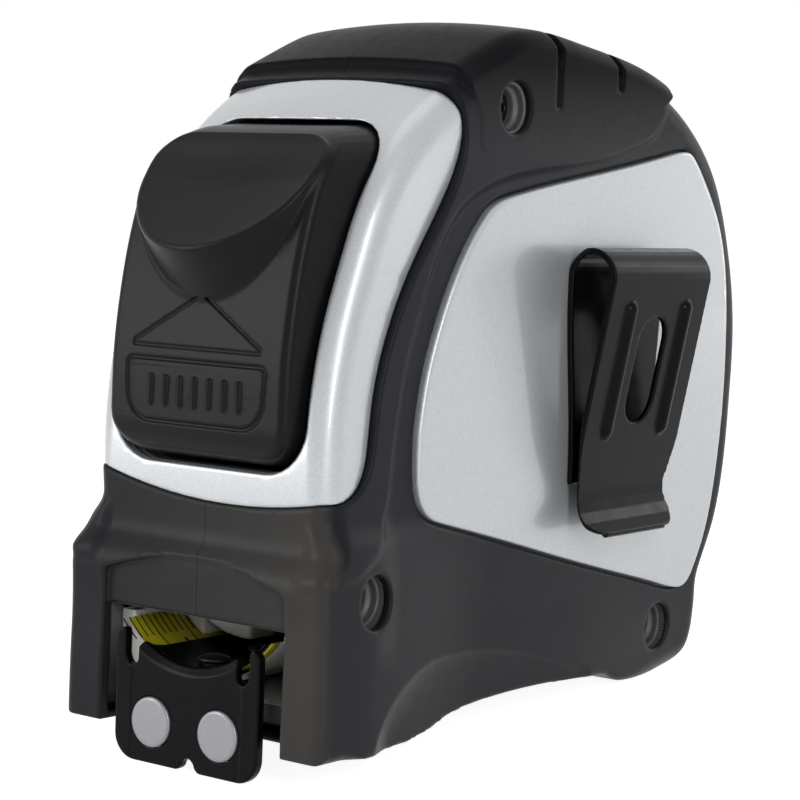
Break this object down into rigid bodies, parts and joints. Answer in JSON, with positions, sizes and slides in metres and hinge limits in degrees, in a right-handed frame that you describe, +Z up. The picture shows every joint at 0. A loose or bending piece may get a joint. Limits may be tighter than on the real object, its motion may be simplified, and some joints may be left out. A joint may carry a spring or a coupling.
{
  "type": "tape measure",
  "caption": "Pocket tape measure with a rubber-skinned case, silver bezel and side panels, large release button, magnetic hook and belt clip.",
  "frame": {"origin": "on the centre plane, level with the fronts of the nose posts and the undersides of the feet", "axes": "+X towards the belt clip, -Y the way the blade is pulled out, +Z up from the feet"},
  "size_m": [0.0454, 0.099, 0.088],
  "materials": {
    "case": "moulded hard plastic",
    "overmould": "satin charcoal rubber",
    "silver_shell": "glossy metallic silver lacquer",
    "button": "fine textured black",
    "steel": "plain",
    "rubber_stop": "matt",
    "black_steel": "semi-gloss black",
    "dark_screw": "black oxide",
    "reel_plastic": "plain",
    "blade": "yellow coated steel",
    "magnet": "nickel plated",
    "nylon": "smooth white"
  },
  "bodies": {
    "case": {"case_right": "case", "case_left": "case", "overmould_right": "overmould", "overmould_left": "overmould", "front_bezel": "silver_shell", "side_panel_right": "silver_shell", "side_panel_left": "silver_shell", "case_screws": "dark_screw", "hub_post": "steel", "button_pivot_pin": "steel", "brake_pivot_pin": "steel", "mouth_guide": "nylon", "hook_bumper": "rubber_stop", "belt_clip": "black_steel", "clip_screw": "black_steel"},
    "button": {"release_button": "button", "button_spring": "steel"},
    "brake": {"brake_lever": "case", "brake_pad": "rubber_stop", "brake_spring": "steel"},
    "reel": {"reel": "reel_plastic", "blade_coil": "blade", "mainspring": "steel"},
    "blade": {"blade_tongue": "blade", "hook_rivets": "dark_screw"},
    "hook": {"hook": "black_steel", "hook_magnets": "magnet"}
  },
  "joints": [
    {"name": "reel_spin", "type": "hinge", "parent": "case", "child": "reel", "pos_m": [0, 0.0583, 0.0421], "axis": [-1, 0, 0], "range_deg": [0, 106]},
    {"name": "blade_pull", "type": "slide", "parent": "case", "child": "blade", "axis": [0, -1, 0], "range_m": [0, 0.0535]},
    {"name": "hook_play", "type": "slide", "parent": "blade", "child": "hook", "axis": [0, -1, 0], "range_m": [0, 0.0012]},
    {"name": "button_press", "type": "hinge", "parent": "case", "child": "button", "pos_m": [0, 0.0072, 0.0366], "axis": [-1, 0, 0], "range_deg": [0, 5], "stiffness_Nm_per_rad": 0.5, "springref_deg": -5.73},
    {"name": "brake_lift", "type": "hinge", "parent": "case", "child": "brake", "pos_m": [0, 0.028, 0.0195], "axis": [-1, 0, 0], "range_deg": [0, 3.1]}
  ],
  "couplings": [
    {"joint": "blade_pull", "follows": "reel_spin", "m_per_rad": 0.0288},
    {"joint": "brake_lift", "follows": "button_press", "ratio": 0.6}
  ]
}
